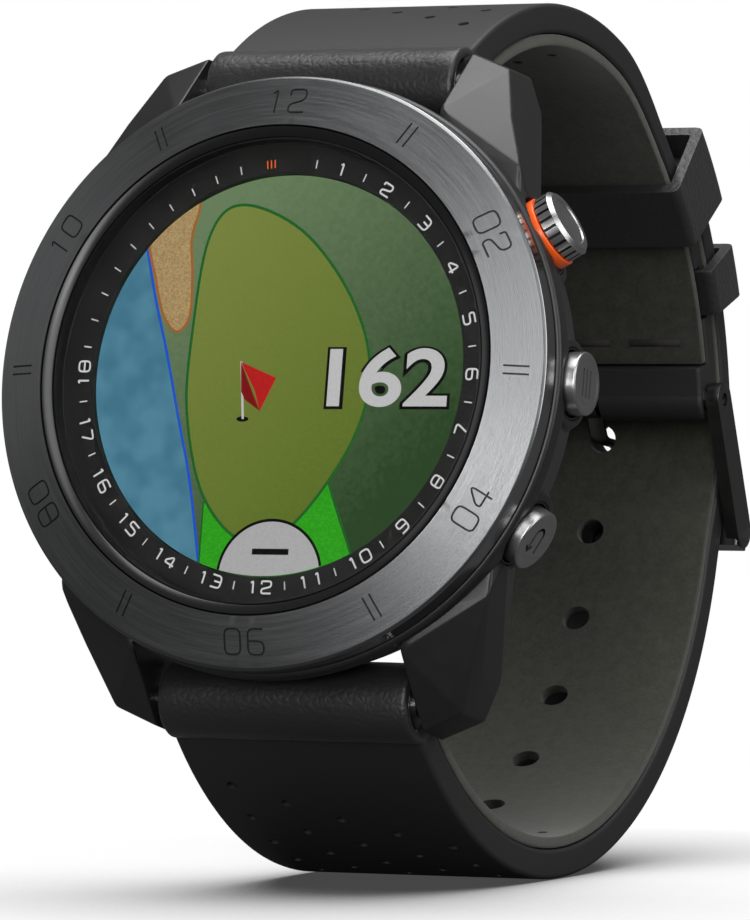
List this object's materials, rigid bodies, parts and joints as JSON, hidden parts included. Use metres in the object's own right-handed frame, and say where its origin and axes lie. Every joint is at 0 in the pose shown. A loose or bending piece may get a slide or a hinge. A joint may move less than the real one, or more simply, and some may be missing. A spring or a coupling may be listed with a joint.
{
  "type": "golf gps watch",
  "caption": "Round golf watch with a conical numbered bezel, map display, side push buttons and a buckled, perforated leather strap with keepers and quick-release ends.",
  "frame": {"origin": "centre of the case back's flat face, where the watch rests on the wrist", "axes": "+Z to twelve o'clock, -Y out of the dial, +X to the button side (three o'clock)"},
  "size_m": [0.0462, 0.069, 0.0678],
  "materials": {
    "case_polymer": "satin black, fine texture",
    "bezel_metal": "dark coating over circular brushing, engraved marks",
    "gloss_black": "polished black",
    "cover_glass": "clear, coated",
    "rubber": "matte",
    "black_plastic": "matte with printed numbers",
    "display": "colour map picture under the glass",
    "white_plastic": "diffuse white",
    "circuit_board": "solder mask with chips",
    "ceramic": "fired ceramic",
    "battery_foil": "laminated foil",
    "steel": "machined",
    "gold": "plated",
    "orange_ring": "anodised orange look",
    "button_metal": "turned face, knurled rim on the top button",
    "black_metal": "satin black coating, worn bright at the edges",
    "strap_leather": "fine grain, perforated, painted edges",
    "strap_lining": "suede with a dark olive cast"
  },
  "bodies": {
    "watch": {"mid_case": "case_polymer", "case_back": "case_polymer", "bezel_ring": "bezel_metal", "inner_bezel_ring": "gloss_black", "cover_glass": "cover_glass", "glass_gasket": "rubber", "hole_number_ring": "black_plastic", "display_panel": "display", "display_backlight": "white_plastic", "display_frame": "black_plastic", "main_board": "circuit_board", "gps_antenna": "ceramic", "battery": "battery_foil", "vibration_motor_body": "steel", "case_back_seal": "rubber", "charging_contact_block": "black_plastic", "upper_strap_leather": "strap_leather", "lower_strap_leather": "strap_leather", "upper_strap_lining": "strap_lining", "lower_strap_lining": "strap_lining", "fixed_keeper": "strap_leather", "case_back_screw_1": "steel", "charging_contact_1": "gold", "case_back_screw_2": "steel", "charging_contact_2": "gold", "case_back_screw_3": "steel", "charging_contact_3": "gold", "case_back_screw_4": "steel", "charging_contact_4": "gold", "top_button_sleeve": "black_metal", "top_button_seal": "rubber", "top_button_spring": "steel", "top_button_switch": "black_plastic", "middle_button_sleeve": "black_metal", "middle_button_seal": "rubber", "middle_button_spring": "steel", "middle_button_switch": "black_plastic", "bottom_button_sleeve": "black_metal", "bottom_button_seal": "rubber", "bottom_button_spring": "steel", "bottom_button_switch": "black_plastic", "lug_pin_top": "steel", "strap_connector_top": "steel", "lug_pin_bottom": "steel", "strap_connector_bottom": "steel"},
    "top_button": {"top_button_cap": "button_metal", "top_button_collar": "orange_ring", "top_button_clip": "steel"},
    "middle_button": {"middle_button_cap": "button_metal", "middle_button_clip": "steel"},
    "bottom_button": {"bottom_button_cap": "button_metal", "bottom_button_clip": "steel"},
    "buckle_frame": {"buckle_frame": "black_metal", "buckle_bar": "steel"},
    "buckle_tongue": {"buckle_tongue": "black_metal"},
    "free_keeper": {"free_keeper": "strap_leather"},
    "top_latch": {"strap_latch_top": "steel"},
    "bottom_latch": {"strap_latch_bottom": "steel"},
    "motor_weight": {"vibration_motor_weight": "steel"}
  },
  "joints": [
    {"name": "top_button_press", "type": "slide", "parent": "watch", "child": "top_button", "axis": [-0.866, 0, -0.5], "range_m": [0, 0.0004], "stiffness_N_per_m": 3000, "springref_m": -0.0004, "deforming": ["top_button_spring"]},
    {"name": "middle_button_press", "type": "slide", "parent": "watch", "child": "middle_button", "axis": [-1, 0, 0], "range_m": [0, 0.0004], "stiffness_N_per_m": 3000, "springref_m": -0.0004, "deforming": ["middle_button_spring"]},
    {"name": "bottom_button_press", "type": "slide", "parent": "watch", "child": "bottom_button", "axis": [-0.866, 0, 0.5], "range_m": [0, 0.0004], "stiffness_N_per_m": 3000, "springref_m": -0.0004, "deforming": ["bottom_button_spring"]},
    {"name": "buckle_frame_swing", "type": "hinge", "parent": "watch", "child": "buckle_frame", "pos_m": [0, 0.04972, 0.00838], "axis": [1, 0, 0], "range_deg": [0, 4]},
    {"name": "buckle_tongue_lift", "type": "hinge", "parent": "buckle_frame", "child": "buckle_tongue", "pos_m": [0, 0.04972, 0.00838], "axis": [1, 0, 0], "range_deg": [0, 4]},
    {"name": "free_keeper_slide", "type": "hinge", "parent": "watch", "child": "free_keeper", "pos_m": [0, 0.0205, 0], "axis": [1, 0, 0], "range_deg": [-6.3, 6]},
    {"name": "top_latch_pull", "type": "slide", "parent": "watch", "child": "top_latch", "axis": [0, 0.7317, 0.6816], "range_m": [0, 0.0012], "stiffness_N_per_m": 1500, "springref_m": -0.0005},
    {"name": "bottom_latch_pull", "type": "slide", "parent": "watch", "child": "bottom_latch", "axis": [0, 0.7317, -0.6816], "range_m": [0, 0.0012], "stiffness_N_per_m": 1500, "springref_m": -0.0005},
    {"name": "motor_weight_spin", "type": "hinge", "parent": "watch", "child": "motor_weight", "pos_m": [0, -0.0034, -0.01295], "axis": [1, 0, 0], "continuous": true}
  ]
}
